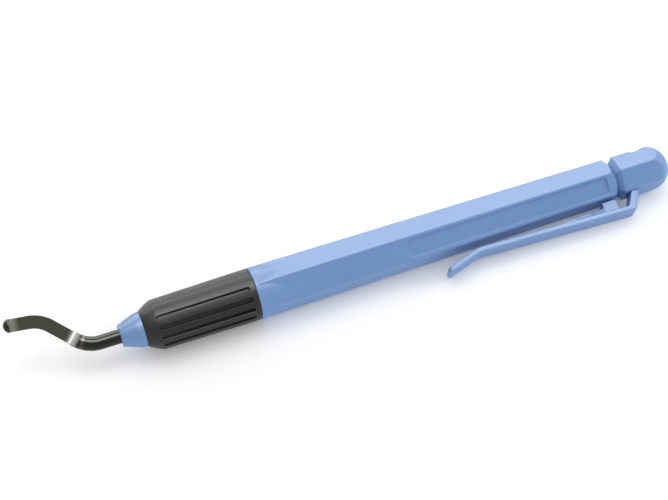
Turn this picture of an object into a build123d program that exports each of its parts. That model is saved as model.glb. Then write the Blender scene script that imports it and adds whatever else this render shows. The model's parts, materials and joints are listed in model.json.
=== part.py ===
"""Pen-style swivel-blade deburring tool.

Frame: millimetres, +X along the tool's axis from the nose to the cap, +Z up.
The origin is on the axis at the front face of the nose, so the blade's free end
is at -X. The tool is rolled about X as it lies on a table, on the grip, the tip
of the pocket clip and one corner of the cap.
"""

import os
from math import atan2, cos, degrees, radians, sin, tan

from build123d import *

# ---------------------------------------------------------------- roll about the axis
clip_angle = 199.3          # direction of the clip's facet, from +Y towards +Z
facet_step = 60.0           # the handle is a hexagon
panel_angle = clip_angle - facet_step
notch_angle = clip_angle - 180.0
blade_angle = 38.1          # side that the blade's tip is swung to at rest

# ---------------------------------------------------------------- lengths, nose to cap
nose_length = 5.2
nose_skirt_length = 3.3     # part of the nose inside the grip
grip_length = 25.6
body_length = 85.2          # from the grip to where the body's facets end at the groove
groove_front_length = 1.2   # the groove's slope on the body, down to the seam
groove_rear_length = 1.3    # the groove's slope on the cap
cap_length = 12.5           # from the groove to the top of the dome

grip_end = nose_length + grip_length
body_hex_end = grip_end + body_length
groove_bottom = body_hex_end + groove_front_length
cap_hex_start = groove_bottom + groove_rear_length
cap_end = cap_hex_start + cap_length

# ---------------------------------------------------------------- outer sizes
nose_front_r = 2.45
nose_cone_length = 3.8
nose_land_r = 3.8
nose_rear_r = 4.02
grip_shoulder_length = 3.2
shoulder_share = 0.5        # the shoulder's arc passes this share of its length
shoulder_bow = 0.12         # and stands this far over the straight line there
grip_front_r = 5.68
grip_rear_r = 5.92
hex_front_r = 6.04          # corner radius of the hexagon at the grip
hex_rear_r = 5.04           # corner radius of the hexagon at the cap's end
hex_edge_r = 0.35
round_front_length = 6.5    # length of the cone from the round front to the facets
front_bow = 0.1             # how far the round front bows outwards
groove_r = 3.6
groove_bow = 0.04           # how far the groove's two slopes bow outwards
cap_proud = 0.05            # the cap's corners stand this far over the body's line
dome_length = 4.8
dome_shoulder_length = 1.6  # points of the dome's outline, back from its start
dome_shoulder_drop = 0.42
dome_haunch_length = 3.0
dome_haunch_drop = 1.05
dome_crown_r = 2.85
dome_crown_drop = 0.6

# ---------------------------------------------------------------- blade
shank_r = 1.6
blade_rear_clear = 4.7      # from the blade's rear end to the rear of its holder
blade_cone_length = 1.2
blade_cone_r = 0.5
bend_start = -7.34          # corner of the first bend, on the axis
bend_rise = 8.5             # height of the second bend's corner
bend_angle = 46.4
bend_r = 7.0
tip_angle = 7.1
tip_station = -21.8         # centre of the ball tip
flat_height = -0.7          # the ground flat, measured from the rod's centre
flat_step = -0.23           # from the ball's centre back to the flat's end
flat_start = 4.75           # distance of the flat's start from the first corner
scoop_r = 2.8
detent_back = 3.3           # from the blade's rear end to its detent groove

# ---------------------------------------------------------------- inner pieces
running_gap = 0.05
slip_gap = 0.05
bush_length = 3.0
bush_wall = 0.55
bush_station = 1.2
nose_lip_gap = 0.2
holder_neck_wall = 0.65
holder_wall = 1.25
holder_back = 5.8           # from the holder's rear to the grip's rear end
detent_ball_r = 0.6
detent_ball_count = 2
detent_ball_depth = 0.35    # how far a ball reaches into the blade's groove
detent_ring_thickness = 0.4
detent_ring_width = 1.2
detent_ring_gap_deg = 24.0
thrust_ball_r = 1.2
thrust_plug_step = 0.35     # the plug is larger than the blade's bore, so it seats
skirt_wall = 0.85
spigot_wall = 1.25
bulkhead = 3.0
store_cone_length = 1.0
rim_wall = 0.4              # the body's wall at the bottom of the groove

blade_bore_r = shank_r + running_gap
bush_r = blade_bore_r + bush_wall
nose_lip_r = shank_r + nose_lip_gap
holder_neck_r = blade_bore_r + holder_neck_wall
holder_r = blade_bore_r + holder_wall
thrust_plug_r = blade_bore_r + thrust_plug_step
skirt_r = holder_neck_r + slip_gap + skirt_wall
spigot_r = holder_r + slip_gap + spigot_wall
store_r = groove_r - rim_wall
holder_rear = grip_end - holder_back
blade_rear_end = holder_rear - blade_rear_clear
detent_station = blade_rear_end - detent_back

# ---------------------------------------------------------------- grip slots
slot_pitch = 24.0
slot_width = 1.1
slot_depth = 0.6
slot_first_angle = 115.1    # direction of the slot beside the plain panel
slot_count = 12
slot_front_land = 3.0       # from the nose's seam to the slots
slot_rear_land = 1.3        # from the slots to the grip's rear end
slot_front = nose_length + slot_front_land
slot_rear = grip_end - slot_rear_land

# ---------------------------------------------------------------- panel and notch
panel_length = 49.0
panel_rear_land = 1.2       # from the panel to the end of the body's facets
panel_width = 4.3
panel_depth = 0.45
panel_corner_r = 1.0
panel_rear = body_hex_end - panel_rear_land
panel_front = panel_rear - panel_length
notch_back = 5.7            # from the start of the cap's facets to the notch
notch_station = cap_hex_start + notch_back
notch_r = 3.4
notch_depth = 0.45

# ---------------------------------------------------------------- cap and clip
plug_gap = 0.1
plug_length = 14.0
plug_lead = 0.6
plug_bore_r = 1.7
plug_bore_depth = 11.0
seal_section_r = 0.5
seal_gap = 0.05
seal_back = 4.8             # from the plug's front end to its seal
clip_width = 4.9
clip_thickness = 1.2
clip_length = 46.0
clip_tip_length = 8.2       # the turned-up tip
clip_tip_height = 5.16      # the outer face over the body's facet, at the tip,
clip_bend_height = 2.69     # at the bend
clip_rear_height = 4.55     # and at the rear
clip_corner_r = 0.4
clip_tip_width = 4.5
clip_tip_corner_r = 1.2
rib_width = 3.4
rib_length = 17.6           # from its front end to the lug's rear face
rib_depth = 1.2
lug_length = 3.2
lug_back = 3.7              # from the lug's rear face to the clip's rear end
lug_gap = 0.6
foot_back = 3.6             # from the cap's seam to the foot of the clip's leg
leg_reach = 1.5             # from the clip's rear end back to the foot
leg_thickness = 1.66
leg_gap = 0.08

seal_station = groove_bottom - plug_length + seal_back
leg_foot = groove_bottom + foot_back
clip_rear = leg_foot - leg_reach
clip_tip = clip_rear - clip_length
clip_bend = clip_tip + clip_tip_length
lug_rear = clip_rear - lug_back
lug_front = lug_rear - lug_length
rib_front = lug_rear - rib_length


def direction(angle):
    """Unit vector across the tool at an angle from +Y towards +Z."""
    return Vector(0, cos(radians(angle)), sin(radians(angle)))


def side_plane(angle):
    """Plane through the tool's axis: local x is +X, local y points along the angle."""
    along = Vector(1, 0, 0)
    return Plane(origin=(0, 0, 0), x_dir=along, z_dir=along.cross(direction(angle)))


hex_slope = (hex_rear_r - hex_front_r) / (cap_end - grip_end)


def corner_r(station):
    """Corner radius of the tapered hexagon at a station."""
    return hex_front_r + hex_slope * (station - grip_end)


def facet_r(station):
    """Distance of a facet from the axis at a station."""
    return corner_r(station) * cos(radians(facet_step / 2))


def cap_facet_r(station):
    """Distance of the cap's facet from the axis, which stands proud of the body's."""
    return facet_r(station) + cap_proud * cos(radians(facet_step / 2))


def facet_plane(station, angle, proud=0.0):
    """Plane on a facet: local x runs to the rear, local z points outwards."""
    outward = direction(angle)
    slope = hex_slope * cos(radians(facet_step / 2))
    along = Vector(1, 0, 0) + outward * slope
    normal = outward - Vector(1, 0, 0) * slope
    origin = Vector(station, 0, 0) + outward * (facet_r(station) + proud)
    return Plane(origin=origin, x_dir=along.normalized(), z_dir=normal.normalized())


def hex_bar(front, rear, proud=0.0):
    """Tapered bar with six flat facets and small edge radii between two stations."""
    with BuildPart() as bar:
        with BuildSketch(Plane.YZ.offset(front)):
            Circle(2 * hex_front_r)
        extrude(amount=rear - front)
        for k in range(6):
            split(bisect_by=facet_plane(front, clip_angle + k * facet_step, proud), keep=Keep.BOTTOM)
        ridges = bar.edges().filter_by(lambda ridge: ridge.length > 0.999 * (rear - front))
        fillet(ridges, hex_edge_r)
    return bar.part


def turned(points):
    """Solid of revolution about the axis from its half outline of (station, radius)."""
    with BuildPart() as solid:
        with BuildSketch(Plane.XZ):
            with BuildLine():
                Polyline(*points, close=True)
            make_face()
        revolve(axis=Axis.X)
    return solid.part


def bowed(start, end, rise):
    """Line of a half outline between two points that bows outwards by a small rise."""
    middle = ((start[0] + end[0]) / 2, (start[1] + end[1]) / 2 + rise)
    return ThreePointArc(start, middle, end)


# ================================================================ swivel_blade
blade_plane = side_plane(blade_angle)
second_corner = bend_start - bend_rise / tan(radians(bend_angle))
tip_rise = bend_rise + (second_corner - tip_station) * tan(radians(tip_angle))
flat_x = bend_start - flat_start * cos(radians(bend_angle))
flat_y = flat_start * sin(radians(bend_angle))
across = Vector(sin(radians(bend_angle)), cos(radians(bend_angle)))
reach = 3 * shank_r
detent_r = shank_r - detent_ball_depth + detent_ball_r

with BuildPart() as swivel_blade:
    with BuildLine(blade_plane) as spine:
        FilletPolyline(
            (blade_rear_end - blade_cone_length, 0),
            (bend_start, 0),
            (second_corner, bend_rise),
            (tip_station, tip_rise),
            radius=bend_r,
        )
    with BuildSketch(Plane.YZ.offset(blade_rear_end - blade_cone_length)):
        Circle(shank_r)
    sweep(path=spine.wires()[0])
    tip_centre = blade_plane.from_local_coords((tip_station, tip_rise, 0))
    with Locations(tip_centre):
        Sphere(shank_r)
    # cone at the rear end, which turns on the thrust ball
    cone_start = blade_rear_end - blade_cone_length
    add(turned([(cone_start, 0), (cone_start, shank_r), (blade_rear_end, blade_cone_r), (blade_rear_end, 0)]))
    # round groove that the detent balls sit in
    with BuildSketch(Plane.XZ):
        with Locations((detent_station, detent_r)):
            Circle(detent_ball_r + running_gap)
    revolve(axis=Axis.X, mode=Mode.SUBTRACT)
    # flat ground along the hook, and the cutter's run-out at its start
    with BuildSketch(blade_plane.offset(flat_height)):
        with BuildLine():
            Polyline(
                (flat_x + reach * across.X, flat_y + reach * across.Y),
                (flat_x + reach * across.X, tip_rise + reach),
                (tip_station + flat_step, tip_rise + reach),
                (tip_station + flat_step, tip_rise - reach),
                (flat_x - reach * across.X, tip_rise - reach),
                (flat_x - reach * across.X, flat_y - reach * across.Y),
                close=True,
            )
        make_face()
    extrude(amount=reach, mode=Mode.SUBTRACT)
    scoop_centre = blade_plane.from_local_coords((flat_x, flat_y, flat_height + scoop_r))
    scoop_axis = blade_plane.x_dir * across.X + blade_plane.y_dir * across.Y
    with BuildSketch(Plane(origin=scoop_centre, z_dir=scoop_axis)):
        Circle(scoop_r)
    extrude(amount=reach, both=True, mode=Mode.SUBTRACT)
swivel_blade.part.label = "swivel_blade"

# ================================================================ nose_cone
skirt_end = nose_length + nose_skirt_length
bush_end = bush_station + bush_length
rim = 0.15
with BuildPart() as nose_cone:
    add(turned([
        (0, nose_lip_r),
        (0, nose_front_r - rim),
        (rim, nose_front_r),
        (nose_cone_length, nose_land_r),
        (nose_length, nose_rear_r),
        (nose_length, skirt_r),
        (skirt_end, skirt_r),
        (skirt_end, holder_neck_r + slip_gap),
        (bush_end, holder_neck_r + slip_gap),
        (bush_end, bush_r + slip_gap),
        (bush_station, bush_r + slip_gap),
        (bush_station, nose_lip_r),
    ]))
nose_cone.part.label = "nose_cone"

# ================================================================ nose_bush
with BuildPart() as nose_bush:
    with BuildSketch(Plane.YZ.offset(bush_station)):
        Circle(bush_r)
        Circle(blade_bore_r, mode=Mode.SUBTRACT)
    extrude(amount=bush_length)
nose_bush.part.label = "nose_bush"

# ================================================================ blade_holder
ring_inner_r = detent_r + detent_ball_r
ring_half = detent_ring_width / 2
plug_front = blade_rear_end + running_gap
with BuildPart() as blade_holder:
    add(turned([
        (bush_end, blade_bore_r),
        (bush_end, holder_neck_r),
        (skirt_end, holder_neck_r),
        (skirt_end, holder_r),
        (holder_rear, holder_r),
        (holder_rear, thrust_plug_r + slip_gap),
        (plug_front, thrust_plug_r + slip_gap),
        (plug_front, blade_bore_r),
    ]))
    with BuildSketch(Plane.XZ):
        with Locations((detent_station, ring_inner_r + holder_r / 2 - slip_gap)):
            Rectangle(detent_ring_width + 2 * slip_gap, holder_r)
    revolve(axis=Axis.X, mode=Mode.SUBTRACT)
    for k in range(detent_ball_count):
        radial = direction(90 + k * 360 / detent_ball_count)
        with BuildSketch(Plane(origin=(detent_station, 0, 0), z_dir=radial)):
            Circle(detent_ball_r + slip_gap)
        extrude(amount=holder_r, mode=Mode.SUBTRACT)
blade_holder.part.label = "blade_holder"

# ================================================================ detent_balls
with BuildPart() as detent_balls:
    for k in range(detent_ball_count):
        with Locations(Vector(detent_station, 0, 0) + direction(90 + k * 360 / detent_ball_count) * detent_r):
            Sphere(detent_ball_r - slip_gap / 2)
detent_balls.part.label = "detent_balls"

# ================================================================ detent_spring
with BuildPart() as detent_spring:
    with BuildSketch(Plane.XZ):
        with Locations((detent_station, ring_inner_r + detent_ring_thickness / 2)):
            Rectangle(detent_ring_width, detent_ring_thickness)
    revolve(axis=Axis.X, revolution_arc=360 - detent_ring_gap_deg)
detent_spring.part.label = "detent_spring"

# ================================================================ thrust_ball
thrust_station = blade_rear_end + running_gap + thrust_ball_r
with BuildPart() as thrust_ball:
    with Locations((thrust_station, 0, 0)):
        Sphere(thrust_ball_r)
thrust_ball.part.label = "thrust_ball"

# ================================================================ thrust_plug
pocket_r = thrust_ball_r + slip_gap
with BuildPart() as thrust_plug:
    with BuildSketch(Plane.YZ.offset(plug_front)):
        Circle(thrust_plug_r)
    extrude(amount=holder_rear - plug_front)
    with BuildSketch(Plane.YZ.offset(plug_front)):
        Circle(pocket_r)
    extrude(amount=thrust_ball_r, mode=Mode.SUBTRACT)
    with Locations((thrust_station, 0, 0)):
        Sphere(pocket_r, mode=Mode.SUBTRACT)
thrust_plug.part.label = "thrust_plug"

# ================================================================ grip_sleeve
shoulder = nose_length + grip_shoulder_length
shoulder_mid = nose_length + grip_shoulder_length * shoulder_share
shoulder_mid_r = nose_rear_r + (grip_front_r - nose_rear_r) * shoulder_share + shoulder_bow
edge = 0.2
with BuildPart() as grip_sleeve:
    with BuildSketch(Plane.XZ):
        with BuildLine():
            ThreePointArc(
                (nose_length, nose_rear_r), (shoulder_mid, shoulder_mid_r), (shoulder, grip_front_r)
            )
            Polyline(
                (shoulder, grip_front_r),
                (grip_end - edge, grip_rear_r),
                (grip_end, grip_rear_r - edge),
                (grip_end, spigot_r + slip_gap),
                (skirt_end, spigot_r + slip_gap),
                (skirt_end, skirt_r + slip_gap),
                (nose_length, skirt_r + slip_gap),
                (nose_length, nose_rear_r),
            )
        make_face()
    revolve(axis=Axis.X)
    slot_length = slot_rear - slot_front
    slot_floor_r = grip_front_r - slot_depth
    for k in range(slot_count):
        outward = direction(slot_first_angle + k * slot_pitch)
        middle = Vector((slot_front + slot_rear) / 2, 0, 0) + outward * slot_floor_r
        with BuildSketch(Plane(origin=middle, x_dir=(1, 0, 0), z_dir=outward)):
            SlotOverall(slot_length, slot_width)
        extrude(amount=2 * slot_depth, mode=Mode.SUBTRACT)
grip_sleeve.part.label = "grip_sleeve"

# ================================================================ handle_body
store_front = holder_rear + bulkhead
cone_end = grip_end + round_front_length
with BuildPart() as handle_body:
    add(hex_bar(grip_end, groove_bottom))
    # round front that flows into the facets, flush with the grip
    with BuildSketch(Plane.XZ):
        with BuildLine():
            bowed((grip_end, grip_rear_r), (cone_end, facet_r(cone_end)), front_bow)
            Polyline((cone_end, facet_r(cone_end)), (cone_end, 0), (grip_end, 0), (grip_end, grip_rear_r))
        make_face()
    revolve(axis=Axis.X)
    # the grip's radius and the groove's slope bound it all round
    with BuildSketch(Plane.XZ):
        with BuildLine():
            bowed((body_hex_end, corner_r(body_hex_end)), (groove_bottom, groove_r), groove_bow)
            Polyline(
                (groove_bottom, groove_r),
                (groove_bottom, 0),
                (grip_end, 0),
                (grip_end, grip_rear_r),
                (body_hex_end, grip_rear_r),
                (body_hex_end, corner_r(body_hex_end)),
            )
        make_face()
    revolve(axis=Axis.X, mode=Mode.INTERSECT)
    # spigot that carries the grip, bored for the blade holder
    add(turned([(skirt_end, 0), (skirt_end, spigot_r), (grip_end, spigot_r), (grip_end, 0)]))
    with BuildSketch(Plane.YZ.offset(skirt_end)):
        Circle(holder_r + slip_gap)
    extrude(amount=holder_rear - skirt_end, mode=Mode.SUBTRACT)
    add(
        turned([
            (store_front - store_cone_length, 0),
            (store_front, store_r),
            (groove_bottom, store_r),
            (groove_bottom, 0),
        ]),
        mode=Mode.SUBTRACT,
    )
    with BuildSketch(facet_plane((panel_front + panel_rear) / 2, panel_angle)):
        RectangleRounded(panel_rear - panel_front, panel_width, panel_corner_r)
    extrude(amount=-panel_depth, mode=Mode.SUBTRACT)
handle_body.part.label = "handle_body"

# ================================================================ pocket_clip
clip_plane = side_plane(clip_angle)
clip_tip_rise = facet_r(clip_tip) + clip_tip_height
clip_bend_rise = facet_r(clip_bend) + clip_bend_height
clip_rear_rise = facet_r(clip_rear) + clip_rear_height
clip_slope = (clip_rear_rise - clip_bend_rise) / (clip_rear - clip_bend)
foot_rise = cap_facet_r(leg_foot)
leg_r = leg_thickness / 2
leg_lean = atan2(clip_rear_rise - clip_thickness - foot_rise, leg_foot - clip_rear + leg_r)


def clip_outer(station):
    """Height of the clip's outer face over the axis, behind its bend."""
    return clip_bend_rise + clip_slope * (station - clip_bend)


def leg_outline(grow):
    """Outline of the clip's leg with its round foot, grown all round, on the clip's plane."""
    with BuildSketch(clip_plane) as outline:
        with BuildLine():
            step = Vector(sin(leg_lean), cos(leg_lean)) * (leg_r + grow)
            foot = Vector(leg_foot, foot_rise)
            head = Vector(clip_rear - leg_r, clip_outer(clip_rear) - clip_thickness / 2)
            Polyline(foot + step, head + step, head - step, foot - step, close=True)
        make_face()
        with Locations((leg_foot, foot_rise)):
            Circle(leg_r + grow)
    return outline.sketch


with BuildPart() as pocket_clip:
    with BuildSketch(clip_plane) as strip:
        with BuildLine():
            Polyline(
                (clip_tip, clip_tip_rise),
                (clip_bend, clip_bend_rise),
                (clip_rear, clip_rear_rise),
                (clip_rear, clip_rear_rise - clip_thickness),
                (clip_bend, clip_bend_rise - clip_thickness),
                (clip_tip, clip_tip_rise - clip_thickness),
                close=True,
            )
        make_face()
        fillet(strip.vertices(), clip_corner_r)
    extrude(amount=clip_width / 2, both=True)
    extrude(leg_outline(0), amount=clip_width / 2, both=True)
    # seen from outside, the strip narrows a little to a tip with round corners
    with BuildSketch(Plane(origin=(0, 0, 0), x_dir=(1, 0, 0), z_dir=direction(clip_angle))) as plan:
        with BuildLine():
            Polyline(
                (clip_tip, clip_tip_width / 2),
                (leg_foot, clip_width / 2),
                (cap_end, clip_width / 2),
                (cap_end, -clip_width / 2),
                (leg_foot, -clip_width / 2),
                (clip_tip, -clip_tip_width / 2),
                close=True,
            )
        make_face()
        fillet(plan.vertices().sort_by(Axis.X)[:2], clip_tip_corner_r)
    extrude(amount=clip_tip_rise + clip_width, mode=Mode.INTERSECT)
    # stiffening rib under the strip, ending in the lug that bears on the body
    with BuildSketch(clip_plane) as rib:
        with BuildLine():
            Polyline(
                (rib_front, clip_outer(rib_front) - clip_thickness / 2),
                (rib_front, clip_outer(rib_front) - clip_thickness),
                (lug_front, clip_outer(lug_front) - clip_thickness - rib_depth),
                (lug_front, facet_r(lug_front) + lug_gap),
                (lug_rear, facet_r(lug_rear) + lug_gap),
                (lug_rear, clip_outer(lug_rear) - clip_thickness / 2),
                close=True,
            )
        make_face()
    extrude(amount=rib_width / 2, both=True)
pocket_clip.part.label = "pocket_clip"

# ================================================================ rear_cap
cap_front_r = corner_r(cap_hex_start) + cap_proud
dome_r = cap_front_r
dome_start = cap_end - dome_length
plug_r = store_r - plug_gap
plug_end = groove_bottom - plug_length
seal_ring_r = store_r - seal_gap - seal_section_r
seal_cut_r = seal_section_r + seal_gap
with BuildPart() as rear_cap:
    add(hex_bar(groove_bottom, cap_end, cap_proud * cos(radians(facet_step / 2))))
    with BuildSketch(Plane.XZ):
        with BuildLine():
            Polyline((cap_end, 0), (groove_bottom, 0), (groove_bottom, groove_r))
            bowed((groove_bottom, groove_r), (cap_hex_start, cap_front_r), groove_bow)
            Line((cap_hex_start, cap_front_r), (dome_start, dome_r))
            Spline(
                (dome_start, dome_r),
                (dome_start + dome_shoulder_length, dome_r - dome_shoulder_drop),
                (dome_start + dome_haunch_length, dome_r - dome_haunch_drop),
                (cap_end - dome_crown_drop, dome_crown_r),
                (cap_end, 0),
                tangents=[(1, 0), (0, -1)],
            )
        make_face()
    revolve(axis=Axis.X, mode=Mode.INTERSECT)
    # plug that closes the hollow body, with its lead-in, seal groove and core
    add(turned([
        (plug_end, 0),
        (plug_end, plug_r - plug_lead),
        (plug_end + plug_lead, plug_r),
        (groove_bottom, plug_r),
        (groove_bottom, 0),
    ]))
    with BuildSketch(Plane.XZ):
        with Locations((seal_station, store_r)):
            Rectangle(2 * seal_cut_r, 2 * (store_r - seal_ring_r + seal_cut_r))
    revolve(axis=Axis.X, mode=Mode.SUBTRACT)
    with BuildSketch(Plane.YZ.offset(plug_end)):
        Circle(plug_bore_r)
    extrude(amount=plug_bore_depth, mode=Mode.SUBTRACT)
    # thumb notch across the facet opposite the clip
    notch_rise = cap_facet_r(notch_station) + notch_r - notch_depth
    with BuildSketch(side_plane(notch_angle)):
        with Locations((notch_station, notch_rise)):
            Circle(notch_r)
    extrude(amount=dome_r, both=True, mode=Mode.SUBTRACT)
    # seat of the clip's foot
    extrude(leg_outline(leg_gap), amount=dome_r, both=True, mode=Mode.SUBTRACT)
rear_cap.part.label = "rear_cap"

# ================================================================ cap_seal_ring
with BuildPart() as cap_seal_ring:
    with BuildSketch(Plane.XZ):
        with Locations((seal_station, seal_ring_r)):
            Circle(seal_section_r)
    revolve(axis=Axis.X)
cap_seal_ring.part.label = "cap_seal_ring"

# ================================================================ export
os.makedirs("parts", exist_ok=True)
for piece in (
    swivel_blade,
    nose_cone,
    nose_bush,
    blade_holder,
    detent_balls,
    detent_spring,
    thrust_ball,
    thrust_plug,
    grip_sleeve,
    handle_body,
    rear_cap,
    cap_seal_ring,
    pocket_clip,
):
    export_step(piece.part, f"parts/{piece.part.label}.step")
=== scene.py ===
# %% [markdown]
# # A swivel-blade deburring tool
#
# The tool is a slim pencil: a hooked steel blade that turns in a blue nose, a black fluted grip,
# a tapered six-sided blue handle with a long recessed panel, and a domed cap with a pocket clip.
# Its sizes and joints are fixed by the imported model. This lesson gives it its looks: every piece
# that shows is worked out as a surface of two parameters, and gets a material made of nodes.

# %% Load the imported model, and keep its box
import json
import math

import bmesh
import bpy
import numpy as np
from mathutils import Matrix, Vector


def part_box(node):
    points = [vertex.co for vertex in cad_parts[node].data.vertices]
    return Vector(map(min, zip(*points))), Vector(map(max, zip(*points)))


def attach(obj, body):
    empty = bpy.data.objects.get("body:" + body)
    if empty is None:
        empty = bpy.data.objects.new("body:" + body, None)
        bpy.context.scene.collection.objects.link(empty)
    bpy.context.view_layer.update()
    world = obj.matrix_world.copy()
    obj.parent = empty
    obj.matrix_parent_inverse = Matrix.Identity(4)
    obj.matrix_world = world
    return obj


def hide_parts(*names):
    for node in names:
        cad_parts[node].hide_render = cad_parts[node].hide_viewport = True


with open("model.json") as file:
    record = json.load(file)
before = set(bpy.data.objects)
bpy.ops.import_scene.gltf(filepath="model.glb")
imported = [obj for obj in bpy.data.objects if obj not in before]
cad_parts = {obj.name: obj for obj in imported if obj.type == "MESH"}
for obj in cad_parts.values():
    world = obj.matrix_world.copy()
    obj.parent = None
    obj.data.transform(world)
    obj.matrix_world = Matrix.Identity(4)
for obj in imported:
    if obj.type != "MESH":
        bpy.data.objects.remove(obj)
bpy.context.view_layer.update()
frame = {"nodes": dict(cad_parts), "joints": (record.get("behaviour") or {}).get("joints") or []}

MM = 0.001

# %% [markdown]
# ## Sizes
#
# Stations are millimetres along the tool's axis, from the front face of the nose. The main ones are
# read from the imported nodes, so that a look starts and ends where its solid does, and the smaller
# sizes are written out with each piece. Directions across the tool are angles from +Y towards +Z.
# The clip's hinge runs across the tool and lies flat with the clip's facet, so a quarter turn from
# its axis gives the way that facet faces. The other five follow in steps of 60 degrees.

# %% Stations, radii and directions
def reach(node):
    """Lowest and highest corner of a CAD node, in millimetres."""
    low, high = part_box(node)
    return np.array(low) / MM, np.array(high) / MM


joints = {joint["name"]: joint for joint in frame["joints"]}
hinge = joints["clip_flex"]["axis"]
clip_angle = math.degrees(math.atan2(hinge[1], -hinge[2])) % 360
notch_angle = clip_angle - 180

nose_end = reach("grip_sleeve")[0][0]
grip_end = reach("grip_sleeve")[1][0]
seam = reach("handle_body")[1][0]
cap_end = reach("rear_cap")[1][0]
grip_r = reach("grip_sleeve")[1][1]
spigot_front = reach("handle_body")[0][0]
plug_front = reach("rear_cap")[0][0]
clip_front = reach("pocket_clip")[0][0]
foot_station = joints["clip_flex"]["pos_m"][0] / MM
foot_rise = math.hypot(*joints["clip_flex"]["pos_m"][1:]) / MM
shank_r = 1.6
hex_corner_front, hex_corner_rear = 6.04, 5.04
hex_slope = (hex_corner_rear - hex_corner_front) / (cap_end - grip_end)
cap_proud = 0.05
COS30, TAN30 = math.cos(math.radians(30)), math.tan(math.radians(30))
print("clip facet at", round(clip_angle, 2), "degrees; stations", round(nose_end, 2),
      round(grip_end, 2), round(seam, 2), round(cap_end, 2))


def across(angle):
    """Unit vector across the tool, as (y, z), at an angle in degrees from +Y towards +Z."""
    return np.stack([np.cos(np.radians(angle)), np.sin(np.radians(angle))], -1)


def facet_r(station, proud=0.0):
    """Distance of a facet from the axis: the corner radius falls evenly, times cos 30."""
    return (hex_corner_front + hex_slope * (station - grip_end) + proud) * COS30


# %% [markdown]
# ## The camera
#
# The camera stands at the tool's -Y side and above it, and looks down at it by about 50 degrees,
# with a long lens, so that the six-sided handle barely narrows from perspective. It is swung
# towards the blade and tilted a few degrees. Both make the tool climb from the lower left to the
# upper right.

# %% Camera
aim = Vector((50.785, 3.045, 2.385)) * MM
azimuth, elevation, roll = math.radians(-16.549), math.radians(50.753), math.radians(-4.551)
distance = 404.093 * MM
back = Vector((math.sin(azimuth) * math.cos(elevation), -math.cos(azimuth) * math.cos(elevation),
               math.sin(elevation)))
level = Vector((math.cos(azimuth), math.sin(azimuth), 0))
right = Matrix.Rotation(roll, 3, back) @ level
up = back.cross(right)
eye = bpy.data.cameras.new("studio_camera")
eye.lens, eye.sensor_width, eye.sensor_fit = 97.898, 36.0, "HORIZONTAL"
eye.clip_start, eye.clip_end = 0.01, 20.0
camera = bpy.data.objects.new("studio_camera", eye)
camera.matrix_world = Matrix((
    (right.x, up.x, back.x, aim.x + back.x * distance),
    (right.y, up.y, back.y, aim.y + back.y * distance),
    (right.z, up.z, back.z, aim.z + back.z * distance),
    (0, 0, 0, 1)))
bpy.context.scene.collection.objects.link(camera)
bpy.context.scene.camera = camera
print("camera at", [round(v, 4) for v in camera.matrix_world.translation])

# %% [markdown]
# ## From a grid of points to a mesh
#
# All new pieces are skins: a rectangular grid of points whose rows follow the piece from one end
# to the other and whose columns go round it. A skin could also be extruded and bevelled by hand,
# but a formula gives soft edges exactly where they are wanted. Points that fall together, such as
# the poles at the ends, are merged, and the faces are turned outwards while the skin is closed.

# %% Skin, soft minimum, rounded outline and turned piece
def skin(name, grid, wrap_rows=False):
    """Mesh object from a (rows, columns, 3) grid in mm. Cell (i, j) becomes the quad between rows
    i, i + 1 and columns j, j + 1. Columns always close into a ring, rows only if wrap_rows."""
    rows, columns = grid.shape[:2]
    i = np.arange(rows if wrap_rows else rows - 1)[:, None]
    j = np.arange(columns)[None, :]
    i2, j2 = (i + 1) % rows, (j + 1) % columns
    quads = np.stack([i * columns + j, i * columns + j2, i2 * columns + j2, i2 * columns + j], -1)
    mesh = bpy.data.meshes.new(name)
    mesh.from_pydata((grid.reshape(-1, 3) * MM).tolist(), [], quads.reshape(-1, 4).tolist())
    shell = bmesh.new()
    shell.from_mesh(mesh)
    bmesh.ops.remove_doubles(shell, verts=shell.verts, dist=2e-7)
    bmesh.ops.dissolve_degenerate(shell, edges=shell.edges, dist=1e-8)
    bmesh.ops.recalc_face_normals(shell, faces=shell.faces)
    open_edges = sum(1 for edge in shell.edges if len(edge.link_faces) != 2)
    shell.to_mesh(mesh)
    shell.free()
    mesh.polygons.foreach_set("use_smooth", np.ones(len(mesh.polygons), bool))
    mesh.set_sharp_from_angle(angle=math.radians(38))
    piece = bpy.data.objects.new(name, mesh)
    bpy.context.scene.collection.objects.link(piece)
    print(f"{name}: {len(mesh.polygons)} faces, {open_edges} open edges")
    return piece


def soft_min(a, b, k):
    """Smaller of a and b, rounded where they meet: min(a, b) - k/4 * max(1 - |a - b|/k, 0)^2."""
    return np.minimum(a, b) - k / 4 * np.maximum(1 - np.abs(a - b) / k, 0) ** 2


def soft_max(a, b, k):
    """Larger of a and b, rounded in the same way."""
    return -soft_min(-a, -b, k)


def smooth_step(t):
    """0 below 0, 1 above 1, and t^2 (3 - 2t) between."""
    t = np.clip(t, 0, 1)
    return t * t * (3 - 2 * t)


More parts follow.
